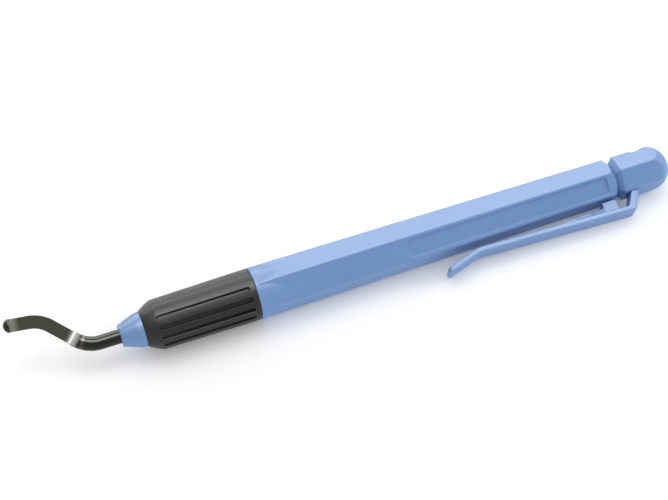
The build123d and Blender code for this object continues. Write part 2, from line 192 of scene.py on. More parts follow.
def rounded(corners, radius, steps=5):
    """Closed outline with round corners. At a corner P with unit sides u and v that open by the
    angle w, the arc touches both sides radius / tan(w/2) from P, about the centre
    P + (u + v) / |u + v| * radius / sin(w/2)."""
    corners = np.asarray(corners, float)
    radius = np.broadcast_to(np.asarray(radius, float), len(corners))[:, None]
    to_last = np.roll(corners, 1, 0) - corners
    to_next = np.roll(corners, -1, 0) - corners
    u = to_last / np.linalg.norm(to_last, axis=1, keepdims=True)
    v = to_next / np.linalg.norm(to_next, axis=1, keepdims=True)
    half = np.arccos(np.clip((u * v).sum(1, keepdims=True), -1, 1)) / 2
    middle = (u + v) / np.linalg.norm(u + v, axis=1, keepdims=True)
    centre = corners + middle * radius / np.sin(half)
    start = corners + u * radius / np.tan(half) - centre
    stop = corners + v * radius / np.tan(half) - centre
    turn = math.pi - 2 * half
    t = np.linspace(0, 1, steps)[None, :, None]
    weight = np.sin(turn)[:, None]
    arc = (start[:, None] * np.sin((1 - t) * turn[:, None])
           + stop[:, None] * np.sin(t * turn[:, None])) / weight
    return (centre[:, None] + arc).reshape(-1, 2)


def turned(name, outline, columns=96):
    """Piece of revolution: the point (s, r) of the closed outline goes to
    (s, r cos a, r sin a) for each angle a."""
    angle = np.arange(columns) * 360 / columns
    ring = across(angle)[None] * outline[:, 1, None, None]
    station = np.broadcast_to(outline[:, 0, None, None], ring.shape[:2] + (1,))
    return skin(name, np.concatenate([station, ring], -1), wrap_rows=True)


# %% [markdown]
# ## The nose
#
# The nose is a small blue cone with a thin rim round the blade and a short, less steep land before
# the grip. It is turned: one closed outline, rounded at its corners, is carried round the axis.

# %% Nose
nose_outline = rounded([
    (0, 1.8), (0, 2.45), (3.8, 3.8), (nose_end, 4.02), (nose_end, 3.2), (8.5, 3.2), (8.5, 2.35),
    (4.2, 2.35), (4.2, 2.25), (1.2, 2.25), (1.2, 1.8),
], [0.06, 0.14, 0.5, 0.2, 0.02, 0.05, 0.05, 0.01, 0.01, 0.02, 0.04])
nose = turned("nose_shell", nose_outline)
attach(nose, "handle")
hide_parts("nose_cone")

# %% [markdown]
# ## The blade
#
# The blade is one round rod with two bends. Its hook is ground flat on one side to less than half
# of the rod, the cutter's run-out leaves a hollow at the end of the flat, and the tip stays a full
# ball. The skin's rows are cross-sections carried along the rod's line. Each row is the lower arc
# of the circle, and above it the circle cut off at the height of the flat, with its columns spread
# evenly along that clipped curve, so that the edge of the full flat falls exactly on a column.
# Two attributes tell the material where the rod was ground, and how far along the flat a point is.

# %% Blade
blade_angle = 38.1
bend_start, bend_rise, bend_angle, tip_angle, tip_station = -7.34, 8.5, 46.4, 7.1, -21.8
bend_r, flat_height, flat_start, scoop_r = 7.0, -0.7, 4.75, 2.31
flat_past, step_length = 0.21, 0.1
blade_rear = reach("swivel_blade")[1][0]
corner_2 = np.array([bend_start - bend_rise / math.tan(math.radians(bend_angle)), bend_rise])
tip = np.array([tip_station,
                bend_rise + (corner_2[0] - tip_station) * math.tan(math.radians(tip_angle))])


def bend(corner, before, after, steps):
    """Arc of radius bend_r that touches the two legs of a corner of the rod's line."""
    outline = rounded([before, corner, after], bend_r, steps)
    return outline[steps:2 * steps]


arc_1 = bend(np.array([bend_start, 0.0]), (blade_rear, 0.0), corner_2, 33)
arc_2 = bend(corner_2, (bend_start, 0.0), tip, 33)
rough = np.concatenate([[(blade_rear - 1.2, 0.0)], arc_1, arc_2, [tip]])
length_along = np.concatenate([[0], np.cumsum(np.linalg.norm(np.diff(rough, axis=0), axis=1))])
total = length_along[-1]
flat_point = np.array([bend_start - flat_start * math.cos(math.radians(bend_angle)),
                       flat_start * math.sin(math.radians(bend_angle))])
straight_start = length_along[33]
flat_at = straight_start + np.linalg.norm(flat_point - arc_1[-1])
along = np.unique(np.round(np.concatenate([
    np.arange(0, 4.4, 0.12), np.arange(4, flat_at - 3, 0.35),
    np.arange(flat_at - 3, flat_at + 0.3, 0.07), np.arange(flat_at, total - 0.3, 0.25),
    np.linspace(total - 0.2, total, 5)]), 4))
line = np.stack([np.interp(along, length_along, rough[:, k]) for k in (0, 1)], -1)
heading = np.stack([np.gradient(line[:, k], along) for k in (0, 1)], -1)
heading /= np.linalg.norm(heading, axis=1, keepdims=True)
behind = np.maximum(flat_at - along, 0)
run_out = math.sqrt(scoop_r ** 2 - (scoop_r - shank_r + flat_height) ** 2)
height = flat_height + scoop_r - np.sqrt(scoop_r ** 2 - np.minimum(behind, run_out) ** 2)
detent_r, detent_reach = 0.65, 1.85
past_detent = line[:, 0] - (blade_rear - 3.3)
groove = detent_reach - np.sqrt(np.maximum(detent_r ** 2 - past_detent ** 2, 0))
rod_r = np.where((np.abs(past_detent) < 0.6) & (along < 5), np.minimum(shank_r, groove), shank_r)
ball = np.radians(np.concatenate([[3, 6, 7.3, 8.4, 9.4, 10.4, 11.4, 13], np.linspace(17, 90, 14)]))
ball_height = flat_height + (shank_r - flat_height) * smooth_step(
    (shank_r * np.sin(ball) - flat_past) / step_length)
line = np.concatenate([[(blade_rear, 0), (blade_rear, 0)], line,
                       tip + heading[-1] * shank_r * np.sin(ball)[:, None]])
heading = np.concatenate([heading[:1], heading[:1], heading,
                          np.repeat(heading[-1:], len(ball), 0)])
height = np.concatenate([[shank_r] * 2, height, ball_height])
rod_r = np.concatenate([[0, 0.5], rod_r, shank_r * np.cos(ball)])
low_angle = math.asin(flat_height / shank_r)
lower = np.concatenate([[0, 0.012, 0.035], np.linspace(0.08, 0.92, 25), [0.965, 0.988, 1]])
upper = np.concatenate([[0.012, 0.035], np.linspace(0.07, 0.93, 29), [0.965, 0.988]])
top = np.minimum(height, shank_r - 1e-4)[:, None] / shank_r
side = np.maximum(np.arcsin(top) - low_angle, 0)
chord = 2 * np.sqrt(1 - top ** 2)
run = upper[None] * (2 * side + chord)
mirrored = np.minimum(run, 2 * side + chord - run)
a_top = np.where(mirrored < side, np.cos(low_angle + mirrored), chord / 2 - (mirrored - side))
a_top = a_top * np.where(run <= side + chord / 2, 1, -1)
b_top = np.where(mirrored < side, np.sin(low_angle + mirrored), top)
phi = -math.pi - low_angle + lower * (math.pi + 2 * low_angle)
a_low = np.broadcast_to(np.cos(phi), (len(line), len(phi)))
b_low = np.broadcast_to(np.sin(phi), (len(line), len(phi)))
a = np.concatenate([a_low, a_top], 1) * rod_r[:, None]
b = np.concatenate([b_low, b_top], 1) * rod_r[:, None]
sideways = np.stack([-heading[:, 1], heading[:, 0]], -1)
rise_dir, face_dir = across(blade_angle), across(blade_angle + 90)
in_plane = line[:, None] + sideways[:, None] * a[..., None]
blade_grid = np.concatenate([
    in_plane[..., :1],
    in_plane[..., 1:] * rise_dir + b[..., None] * face_dir], -1)
blade = skin("hooked_blade", blade_grid)
points = np.empty(len(blade.data.vertices) * 3)
blade.data.vertices.foreach_get("co", points)
points = points.reshape(-1, 3) / MM
in_plane = np.stack([points[:, 0], points[:, 1:] @ rise_dir], -1)
spine = line[2:len(line) - len(ball)]
gap = np.linalg.norm(in_plane[:, None] - spine[None], axis=-1)
from_middle = np.hypot(gap.min(1), points[:, 1:] @ face_dir)
travel = (along[np.argmin(gap, 1)] - flat_at) / (total - flat_at)
ground = smooth_step((shank_r - 0.03 - from_middle) / 0.05) * (travel > -0.35)
for label, values in (("ground", ground), ("travel", travel)):
    layer = blade.data.attributes.new(label, "FLOAT", "POINT")
    layer.data.foreach_set("value", values.astype(np.float32))
print("ground share of the blade's points:", round(float((ground > 0.5).mean()), 3))
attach(blade, "blade")
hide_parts("swivel_blade")

# %% [markdown]
# ## The grip
#
# The black sleeve swells from the nose over a rounded shoulder and then widens a little to the
# rear. Twelve round-ended slots run along it and one panel is left plain. The skin's radius is the
# turned outline, sunk to the slots' floor where the distance to a slot's middle line says so.

# %% Grip
slot_pitch, slot_first, slot_count, slot_width = 24.0, 115.1, 12, 1.1
slot_front, slot_rear, floor_r = nose_end + 3.0, grip_end - 1.3, 5.08
lip_r, mean_r = 0.2, 5.78
one_slot = np.array([0, 2.0, 3.6, 4.3, 4.8, 5.1, 5.4, 5.7, 6.0, 6.3, 6.8, 7.8, 9.6])
slot_columns = np.unique(np.concatenate([-one_slot, one_slot, [12.0]]))
grip_angles = np.concatenate([
    (slot_first + np.arange(slot_count)[:, None] * slot_pitch + slot_columns[None]).ravel(),
    slot_first - slot_pitch - 12 + np.arange(1.5, 24, 1.5)])
grip_angles = np.unique(np.round(grip_angles % 360, 3))
shoulder = np.array([(nose_end, 4.02), (nose_end + 1.6, 4.97), (nose_end + 3.2, 5.68)])


def shoulder_r(station):
    """Radius of the rounded shoulder: the circle through its three given points."""
    (x1, y1), (x2, y2), (x3, y3) = shoulder
    q1, q2, q3 = x1**2 + y1**2, x2**2 + y2**2, x3**2 + y3**2
    d = 2 * (x1 * (y2 - y3) + x2 * (y3 - y1) + x3 * (y1 - y2))
    cx = (q1 * (y2 - y3) + q2 * (y3 - y1) + q3 * (y1 - y2)) / d
    cy = (q1 * (x3 - x2) + q2 * (x1 - x3) + q3 * (x2 - x1)) / d
    big = math.hypot(x1 - cx, y1 - cy)
    return cy + math.copysign(1, y1 - cy) * np.sqrt(np.maximum(big**2 - (station - cx)**2, 0))


outer = np.concatenate([
    nose_end + np.array([0.0, 0.03, 0.08, 0.16, 0.3]), np.arange(5.9, 8.1, 0.3),
    np.arange(slot_front - 0.1, slot_front + 0.75, 0.07), np.arange(9.1, 10.0, 0.3),
    np.linspace(10.3, slot_rear - 1, 12), np.arange(slot_rear - 0.75, slot_rear + 0.15, 0.07),
    np.linspace(slot_rear + 0.25, grip_end - 0.25, 5),
    grip_end - lip_r + lip_r * np.sin(np.radians([0, 20, 40, 60, 80, 90]))])
tail_share = (grip_end - lip_r - outer) / (grip_end - lip_r - shoulder[2, 0])
tail = grip_r + (shoulder[2, 1] - grip_r) * tail_share
outer_r = np.where(outer < shoulder[2, 0], shoulder_r(outer), tail)
outer_r = soft_min(outer_r, tail, 0.12)
outer_r = outer_r - lip_r * (1 - np.clip((outer - nose_end) / lip_r, 0, 1)) ** 2
lip = np.clip((outer - (grip_end - lip_r)) / lip_r, 0, 1)
outer_r = outer_r - lip_r * (1 - np.sqrt(1 - lip ** 2))
nearest = (grip_angles[None] - slot_first + slot_pitch / 2) % 360
slot_index = np.floor(nearest / slot_pitch)
sideways_mm = np.radians(nearest - slot_index * slot_pitch - slot_pitch / 2) * mean_r
half_run = (slot_rear - slot_front - slot_width) / 2
past = np.maximum(np.abs(outer[:, None] - (slot_front + slot_rear) / 2) - half_run, 0)
inside = slot_width / 2 - np.hypot(past, sideways_mm)
inside = np.where(slot_index < slot_count, inside, -1.0)
dip = smooth_step((inside + 0.05) / 0.22)
grip_radius = outer_r[:, None] + (np.minimum(floor_r, outer_r[:, None]) - outer_r[:, None]) * dip
inner = np.array([(grip_end, 4.25), (8.5, 4.25), (8.5, 3.25), (nose_end, 3.25)])
station = np.concatenate([outer, inner[:, 0]])
radius = np.concatenate([grip_radius, np.repeat(inner[:, 1:], len(grip_angles), 1)])
ring = across(grip_angles)[None] * radius[..., None]
grip_grid = np.concatenate([np.broadcast_to(station[:, None, None], radius.shape + (1,)), ring], -1)
grip = skin("fluted_grip", grip_grid, wrap_rows=True)
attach(grip, "handle")
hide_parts("grip_sleeve")

# %% [markdown]
# ## The six-sided skin
#
# The handle and the cap share one way of building. A row of the grid is a hexagon with small round
# edges: on each facet the columns stand at chosen distances from the facet's middle, and between
# two facets a few columns follow the edge's arc. Because the columns are placed in millimetres, the
# walls of the recessed panel run straight along the facet while the handle tapers.

# %% Six-sided grid
edge_r = 0.35
corner_turn = np.linspace(-30, 30, 8)[1:-1]


def facet_columns(tangent, fixed=None):
    """Columns of one facet for each row, as distances from its middle line. A plain facet shares
    its width evenly. A facet with fixed distances keeps those, and only its ends follow the taper.
    Either way a column lies close beside each end, so that the flat stays flat in the shading."""
    if fixed is None:
        middle = np.linspace(-1, 1, 15)[None, 1:-1] * tangent
    else:
        middle = np.broadcast_to(np.asarray(fixed)[None], (len(tangent), len(fixed)))
    return np.concatenate([-tangent, -tangent + 0.05, middle, tangent - 0.05, tangent], 1)


def hex_grid(stations, distance, sunk=None, sink=None, fixed=None):
    """(y, z) of each row's hexagon. On the facet with direction n and side direction t, a point is
    n * (distance - sink) + t * u, with a sink on the facet numbered sunk. Facet 0 faces the clip,
    and facet 5 carries the panel."""
    distance = np.broadcast_to(distance, stations.shape)[:, None]
    tangent = (distance - edge_r) * TAN30
    parts = []
    for k in range(6):
        facing = clip_angle + 60 * k
        u = facet_columns(tangent, fixed if k == sunk else None)
        h = np.broadcast_to(distance, u.shape)
        if k == sunk:
            h = h - sink(stations[:, None], u)
        parts.append(h[..., None] * across(facing) + u[..., None] * across(facing + 90))
        centre = (distance - edge_r) / COS30
        parts.append(centre[..., None] * across(facing + 30)
                     + edge_r * across(facing + 30 + corner_turn)[None])
    return np.concatenate(parts, 1)


def limit(grid, radius):
    """Moves each point of a ring in or out to the given radius, along its own direction."""
    now = np.linalg.norm(grid, axis=-1)
    return grid * (radius / now)[..., None]


def ring_like(grid_row, radii):
    """Round rows with the column directions of a given row, one for each radius."""
    unit = grid_row / np.linalg.norm(grid_row, axis=-1, keepdims=True)
    return unit[None] * np.asarray(radii, float)[:, None, None]


def with_stations(stations, grid):
    """Puts the station in front of each row's (y, z)."""
    return np.concatenate([np.broadcast_to(np.asarray(stations, float)[:, None, None],
                                           grid.shape[:2] + (1,)), grid], -1)


# %% [markdown]
# ## The handle
#
# The handle's front is round, flush with the grip, and falls as a slightly bowed cone until each
# facet comes out of it. That leaves a round tongue on every facet and a crease beside every edge.
# The larger of the cone and the hexagon gives both, and neither passes the grip's radius. At the
# rear a cone cuts the facets back to the seam. The panel is a facet that sinks wherever a point
# lies inside its rounded rectangle.

# %% Handle
panel_front, panel_rear, panel_width, panel_depth, panel_corner = 65.8, 114.8, 4.3, 0.45, 1.0
facets_end, groove_r, store_r, store_front = seam - 1.2, 3.6, 3.2, 28
cone_end, front_bow, seam_r = grip_end + 6.5, 0.1, 0.25
wall_width = 0.36
on_wall = [-0.03, 0.0, 0.04, 0.08, 0.12, 0.17, 0.22, 0.27, 0.32, 0.36, 0.42, 0.6]
wall_steps = np.array([-0.35, -0.12, *on_wall, 0.8, 1.1])
panel_edge = panel_width / 2 - np.array([-0.14, -0.08, *on_wall, 0.9, 1.3])
panel_columns = np.concatenate([-panel_edge, [0], panel_edge[::-1]])


def panel_sink(station, u):
    """Depth of the recessed panel: full depth where the point lies more than a wall's width inside
    the rounded rectangle, by its signed distance, and a soft step across the wall."""
    half = (panel_rear - panel_front) / 2
    qx = np.abs(station - (panel_front + panel_rear) / 2) - half + panel_corner
    qy = np.abs(u) - panel_width / 2 + panel_corner
    outside = np.hypot(np.maximum(qx, 0), np.maximum(qy, 0)) + np.minimum(np.maximum(qx, qy), 0)
    return panel_depth * smooth_step((panel_corner - outside) / wall_width)


body_s = np.concatenate([
    grip_end + np.array([0, 0.01, 0.04, 0.09, 0.16, 0.25]), np.arange(31.2, 38.2, 0.2),
    [39, 41, 46, 53, 60, 64, 65.2], panel_front + wall_steps,
    [68.5, 72, 80, 90, 100, 108, 111, 113], panel_rear - wall_steps[::-1],
    np.linspace(115.3, facets_end - 0.15, 5), np.arange(facets_end - 0.08, seam, 0.05), [seam]])
body_yz = hex_grid(body_s, facet_r(body_s), 5, panel_sink, panel_columns)
r = np.linalg.norm(body_yz, axis=-1)
cone = grip_r + (facet_r(cone_end) - grip_r) * (body_s - grip_end) / (cone_end - grip_end)
round_front = body_s < cone_end + 1
front_share = np.clip((body_s - grip_end) / (cone_end - grip_end), 0, 1)
cone = cone + 4 * front_bow * front_share * (1 - front_share)
r_front = soft_max(r, np.maximum(cone, 3.0)[:, None], 0.05)
r = np.where(round_front[:, None], r_front, r)
seam_off = grip_end + seam_r - np.minimum(body_s, grip_end + seam_r)
r = np.minimum(r, (grip_r - seam_r + np.sqrt(np.maximum(seam_r ** 2 - seam_off ** 2, 0)))[:, None])
corner_at_end = hex_corner_front + hex_slope * (facets_end - grip_end)
cut = corner_at_end + (groove_r - corner_at_end) * (body_s - facets_end) / (seam - facets_end)
r = soft_min(r, cut[:, None], 0.03)
body_yz = limit(body_yz, r)
front_rows = ring_like(body_yz[0], [1e-4, 2.95, 2.95, 4.2, 4.2])
rear_rows = ring_like(body_yz[-1], [store_r, store_r, 1e-4])
body = skin("six_sided_handle", np.concatenate([
    with_stations([25, 25, spigot_front, spigot_front, grip_end], front_rows),
    with_stations(body_s, body_yz),
    with_stations([seam, store_front, store_front - 1], rear_rows)]))
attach(body, "handle")
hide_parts("handle_body")

# %% [markdown]
# ## The cap
#
# The cap takes up the hexagon behind the groove, a little prouder, and closes it with a dome. The
# groove's rear slope is flat on each facet. A round seat for the clip's foot is sunk into the
# clip's facet. The thumb notch opposite is a cylinder across the tool: on its side of the cap it
# limits a point's height along the facet's direction, and so the radius, height / cos(angle).

# %% Cap
cap_front = seam + 1.3
dome_start, dome_length = cap_end - 4.8, 4.6
dome_base = hex_corner_front + hex_slope * (cap_front - grip_end) + cap_proud
notch_station, notch_r, notch_depth, notch_soft = cap_front + 5.7, 3.4, 0.45, 0.14
seat_r, seat_half = 0.91, 2.3
fall = np.radians(np.linspace(38, 90, 22))
dome_s = dome_start + dome_length * (1 - np.cos(fall) ** 3.125) ** 0.7407
cap_s = np.concatenate([
    np.arange(seam, cap_front + 0.2, 0.05), np.arange(118.8, 119.8, 0.2),
    np.arange(foot_station - 1.0, foot_station + 1.02, 0.06), np.arange(122, dome_start, 0.2),
    np.arange(dome_start + 0.05, dome_s[0] - 0.05, 0.12), dome_s])
cut = COS30 * (groove_r + (dome_base - groove_r) * (cap_s - seam) / (cap_front - seam))


def seat_sink(station, u):
    """Depth of the round seat of the clip's foot, a cylinder across the clip's facet."""
    deep = np.sqrt(np.maximum(seat_r ** 2 - (station - foot_station) ** 2, 0))
    return deep * smooth_step((seat_half - np.abs(u)) / 0.12)


cap_yz = hex_grid(cap_s, soft_min(facet_r(cap_s, cap_proud), cut, 0.04), 0, seat_sink)
r = np.linalg.norm(cap_yz, axis=-1)
share = np.clip((cap_s - dome_start) / dome_length, 0, 1)
dome = dome_base * (1 - share ** 1.35) ** 0.35
r = soft_min(r, dome[:, None] + 0.06 * (dome[:, None] > 4), 0.24)

# The notch rises from its floor as floor + notch_r - sqrt(notch_r^2 - distance^2).
notch_floor = facet_r(notch_station, cap_proud) - notch_depth
swing = np.degrees(np.arctan2(cap_yz[..., 1], cap_yz[..., 0])) - notch_angle
lean = np.cos(np.radians(swing))
off = np.abs(cap_s - notch_station)
rise = np.where(off < notch_r,
                notch_floor + notch_r - np.sqrt(np.maximum(notch_r ** 2 - off ** 2, 0)), 99)
r = np.where(lean > 0.3, soft_min(r, rise[:, None] / np.maximum(lean, 0.3), notch_soft), r)
cap_yz = limit(cap_yz, np.maximum(r, 1e-4))
plug_rows = ring_like(cap_yz[0], [1e-4, 1.7, 1.7, 2.5, 3.1, 3.1, 2.6, 2.6, 3.1, 3.1])
seal_at = plug_front + 4.8
plug_s = [plug_front + 11, plug_front + 11, plug_front, plug_front, plug_front + 0.6,
          seal_at - 0.55, seal_at - 0.549, seal_at + 0.549, seal_at + 0.55, seam]
cap = skin("domed_cap", np.concatenate([
    with_stations(plug_s, plug_rows), with_stations(cap_s, cap_yz)]))
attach(cap, "cap")
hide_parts("rear_cap")

# %% [markdown]
# ## The pocket clip
#
# The clip is a flat strip with a turned-up tip, a rib under its rear half that ends in a lug, and a
# leg that leans back into the cap. One skin makes all of it. Its rows are cuts between a point on
# the outer face and one on the inner face. They stand upright along the strip, fan round the rear
# corner, and close round the foot. In each row the columns go round the strip's section and down
# round the rib, which has no depth where there is no rib.

# %% Clip
clip_rear, clip_thick = foot_station - 1.5, 1.2
clip_bend = clip_front + 8.2
tip_h = facet_r(clip_front) + 5.16
bend_h = facet_r(clip_bend) + 2.69
rear_h = facet_r(clip_rear) + 4.55
lug_rear = clip_rear - 3.7
lug_front, rib_front = lug_rear - 3.2, lug_rear - 17.6
leg_half, leg_narrowing = 0.83, 0.38
tip_half, foot_half, tip_corner = 2.25, 2.45, 1.2
rib_half, rib_full, lug_gap = 1.7, 1.2, 0.6


def outer_h(x):
    """Height of the outer face: the two straight legs of the strip, softened at the bend."""
    front = tip_h + (bend_h - tip_h) * (x - clip_front) / (clip_bend - clip_front)
    rear = bend_h + (rear_h - bend_h) * (x - clip_bend) / (clip_rear - clip_bend)
    return soft_max(front, rear, 0.35)


strip_x = np.concatenate([
    clip_front + 0.4 * (1 - np.cos(np.radians([0, 15, 30, 45, 60, 75, 90]))),
    np.arange(clip_front + 0.5, clip_front + 1.3, 0.1), np.linspace(75, 80.4, 7),
    np.arange(80.6, 82.6, 0.15), np.linspace(83.2, rib_front - 0.1, 9),
    [rib_front, rib_front + 0.2], np.linspace(99, lug_front - 0.3, 10),
    lug_front + np.array([-0.1, -0.03, 0.03, 0.1]), np.linspace(lug_front + 0.4, lug_rear - 0.4, 5),
    lug_rear + np.array([-0.1, -0.03, 0.03, 0.1]), [116.4]])
h_out = outer_h(strip_x)
h_in = h_out - clip_thick
nose_in = 0.4 - np.sqrt(np.maximum(0.4 ** 2 - np.maximum(clip_front + 0.4 - strip_x, 0) ** 2, 0))
strip_out = np.stack([strip_x, h_out - nose_in], -1)
strip_in = np.stack([strip_x, h_in + nose_in], -1)
head = np.array([clip_rear - leg_half, outer_h(clip_rear) - clip_thick / 2])
foot = np.array([foot_station, foot_rise])
leg_dir = (foot - head) / np.linalg.norm(foot - head)
leg_side = np.array([-leg_dir[1], leg_dir[0]])
rear_corner = np.array([clip_rear, outer_h(clip_rear)])
rear_point = foot + leg_side * leg_half
inner_corner = head - leg_side * leg_half
drop = inner_corner[1] - (rear_corner[1] - clip_thick - 0.03)
inner_corner = inner_corner + leg_dir * drop / -leg_dir[1]
far_out = np.array([110.0, outer_h(110.0)])
far_in = np.array([110.0, outer_h(110.0) - clip_thick])
turn_out = rounded([far_out, rear_corner, rear_point], [0.1, 0.45, 0.1], 13)[13:26]
turn_in = rounded([far_in, inner_corner, foot - leg_side * leg_half], [0.1, 0.5, 0.1], 13)[13:26]
lead = np.linspace(0.3, 1, 3)[:-1, None]
lead_out = strip_out[-1] + (turn_out[0] - strip_out[-1]) * lead
lead_in = strip_in[-1] + (turn_in[0] - strip_in[-1]) * lead
down = np.linspace(0, 1, 7)[1:, None]
leg_out = turn_out[-1] + (rear_point - turn_out[-1]) * down
leg_in = turn_in[-1] + (foot - leg_side * leg_half - turn_in[-1]) * down
curl = np.radians(np.linspace(0, 84, 9)[1:])[:, None]
sole_out = foot + leg_half * (np.cos(curl) * leg_side + np.sin(curl) * leg_dir)
sole_in = foot + leg_half * (-np.cos(curl) * leg_side + np.sin(curl) * leg_dir)
row_out = np.concatenate([strip_out, lead_out, turn_out, leg_out, sole_out])
row_in = np.concatenate([strip_in, lead_in, turn_in, leg_in, sole_in])
thick = np.linalg.norm(row_in - row_out, axis=1)[:, None]
depth_dir = (row_in - row_out) / thick
x = row_out[:, 0]
clip_share = np.clip((x - clip_front) / (foot_station - clip_front), 0, 1)
off_tip = np.maximum(clip_front + tip_corner - x, 0)
half_w = tip_half + (foot_half - tip_half) * clip_share
half_w = half_w - tip_corner + np.sqrt(np.maximum(tip_corner ** 2 - off_tip ** 2, 0))
half_w = half_w - leg_narrowing * np.interp(np.arange(len(x)), [len(x) - 15, len(x) - 8], [0, 1])
half_w = half_w[:, None]
rib_depth = rib_full * np.clip((x - rib_front) / (lug_front - rib_front), 0, 1)
lug_depth = outer_h(x) - clip_thick - facet_r(x) - lug_gap
in_lug = (x > lug_front) & (x < lug_rear)
rib_depth = np.where(in_lug, lug_depth, np.where(x < lug_front, rib_depth, 0))[:, None]
soft = np.minimum(0.22, thick / 2 - 0.01)
quarter = np.radians(np.linspace(0, 90, 5))[None]
zero = np.zeros_like(half_w)
spread = np.linspace(0, 1, 4)[None, 1:]
right_a = np.concatenate([
    (half_w - soft) * spread, half_w - soft + soft * np.sin(quarter),
    half_w - soft + soft * np.cos(quarter),
    (half_w - soft - 0.1) + 0 * spread[:, :1], zero + rib_half + 0.12, zero + rib_half + 0.04,
    zero + rib_half, zero + rib_half - 0.03, zero + rib_half - 0.1, zero + rib_half - 0.25,
    zero + 0.8], 1)
right_b = np.concatenate([
    0 * spread + zero, soft - soft * np.cos(quarter),
    thick - soft + soft * np.sin(quarter),
    thick, thick, thick + 0.04 * (rib_depth > 0.1), thick + rib_depth * 0.12,
    thick + rib_depth * 0.88, thick + rib_depth - 0.03 * (rib_depth > 0.1), thick + rib_depth,
    thick + rib_depth], 1)
a = np.concatenate([zero, right_a, zero, -right_a[:, ::-1]], 1)
b = np.concatenate([zero, right_b, thick + rib_depth, right_b[:, ::-1]], 1)
flat = row_out[:, None] + depth_dir[:, None] * b[..., None]
outwards, sideways = across(clip_angle), across(clip_angle + 90)
clip_grid = np.concatenate([
    flat[..., :1], flat[..., 1:] * outwards + a[..., None] * sideways], -1)
ends = clip_grid[[0, -1]].mean(1, keepdims=True)
clip_grid = np.concatenate([np.broadcast_to(ends[:1], clip_grid[:1].shape), clip_grid,
                            np.broadcast_to(ends[1:], clip_grid[:1].shape)])
clip = skin("strip_clip", clip_grid)
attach(clip, "clip")
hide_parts("pocket_clip")

# %% [markdown]
# ## Shared effects
#
# Three effects come back in several finishes, so each is a node group that is built once. Grain is
# the fine texture that a mould leaves, with broad cloudy variation under it. The edge mask comes
# from the pointiness of the surface: it marks rubbed edges on the grip and the blade, and on the
# blue plastic it places a painted highlight. Scratches are thin stretched noise. The groups put out
# only masks and heights, and the shaders stay in the materials.

# %% Node helpers and the three groups
def add_node(tree, kind, values=None, **settings):
    """New node of a tree, with its settings and the values of its input sockets."""
    node = tree.nodes.new(kind)
    for key, value in settings.items():
        setattr(node, key, value)
    for key, value in (values or {}).items():
        node.inputs[key].default_value = value
    return node


def new_group(name, inputs, outputs):
    """Empty shader group with named float inputs (name, default) and float outputs."""
    group = bpy.data.node_groups.new(name, "ShaderNodeTree")
    new_socket = group.interface.new_socket
    for label, default in inputs:
        socket = new_socket(name=label, in_out="INPUT", socket_type="NodeSocketFloat")
        socket.default_value = default
    for label in outputs:
        new_socket(name=label, in_out="OUTPUT", socket_type="NodeSocketFloat")
    return group, group.nodes.new("NodeGroupInput"), group.nodes.new("NodeGroupOutput")


grain_group, g_in, g_out = new_group(
    "moulded_grain", [("Fine scale", 9000.0), ("Cloud scale", 60.0)], ["Grain", "Cloud", "Specks"])
place = add_node(grain_group, "ShaderNodeTexCoord")
fine = add_node(grain_group, "ShaderNodeTexNoise", {"Detail": 3.0, "Roughness": 0.6})
cloud = add_node(grain_group, "ShaderNodeTexNoise", {"Detail": 4.0, "Roughness": 0.55})
speck = add_node(grain_group, "ShaderNodeTexVoronoi", {"Scale": 1400.0})
speck_edge = add_node(grain_group, "ShaderNodeMapRange",
                      {"From Min": 0.05, "From Max": 0.16, "To Min": 1.0, "To Max": 0.0})
link = grain_group.links.new
for texture in (fine, cloud, speck):
    link(place.outputs["Object"], texture.inputs["Vector"])
link(g_in.outputs["Fine scale"], fine.inputs["Scale"])
link(g_in.outputs["Cloud scale"], cloud.inputs["Scale"])
link(speck.outputs["Distance"], speck_edge.inputs["Value"])
link(fine.outputs["Fac"], g_out.inputs["Grain"])
link(cloud.outputs["Fac"], g_out.inputs["Cloud"])
link(speck_edge.outputs["Result"], g_out.inputs["Specks"])

# Edge mask from pointiness: rubbed edges on the grip and the blade, a painted highlight on the blue
# plastic
edge_group, g_in, g_out = new_group(
    "worn_and_highlit_edges", [("Low", 0.51), ("High", 0.6), ("Breakup", 120.0)], ["Edge"])
shape = add_node(edge_group, "ShaderNodeNewGeometry")
place = add_node(edge_group, "ShaderNodeTexCoord")
patchy = add_node(edge_group, "ShaderNodeTexNoise", {"Detail": 5.0, "Roughness": 0.65})
sharp = add_node(edge_group, "ShaderNodeMapRange", {"To Min": 0.0, "To Max": 1.0})
both = add_node(edge_group, "ShaderNodeMath", operation="MULTIPLY")
link = edge_group.links.new
link(place.outputs["Object"], patchy.inputs["Vector"])
link(g_in.outputs["Breakup"], patchy.inputs["Scale"])
link(shape.outputs["Pointiness"], sharp.inputs["Value"])
link(g_in.outputs["Low"], sharp.inputs["From Min"])
link(g_in.outputs["High"], sharp.inputs["From Max"])
link(sharp.outputs["Result"], both.inputs[0])
link(patchy.outputs["Fac"], both.inputs[1])
link(both.outputs["Value"], g_out.inputs["Edge"])

scratch_group, g_in, g_out = new_group(
    "fine_scratches", [("Scale", 400.0), ("Stretch", 0.06)], ["Scratch"])
place = add_node(scratch_group, "ShaderNodeTexCoord")
turn = add_node(scratch_group, "ShaderNodeMapping", {"Rotation": (0.3, 0.5, 0.9)})
squeeze = add_node(scratch_group, "ShaderNodeCombineXYZ", {"Y": 1.0, "Z": 1.0})
lines = add_node(scratch_group, "ShaderNodeTexNoise", {"Detail": 2.0, "Roughness": 0.5})
thin = add_node(scratch_group, "ShaderNodeMapRange",
                {"From Min": 0.63, "From Max": 0.7, "To Min": 0.0, "To Max": 1.0})
link = scratch_group.links.new
link(place.outputs["Object"], turn.inputs["Vector"])
link(g_in.outputs["Stretch"], squeeze.inputs["X"])
link(squeeze.outputs["Vector"], turn.inputs["Scale"])
link(turn.outputs["Vector"], lines.inputs["Vector"])
link(g_in.outputs["Scale"], lines.inputs["Scale"])
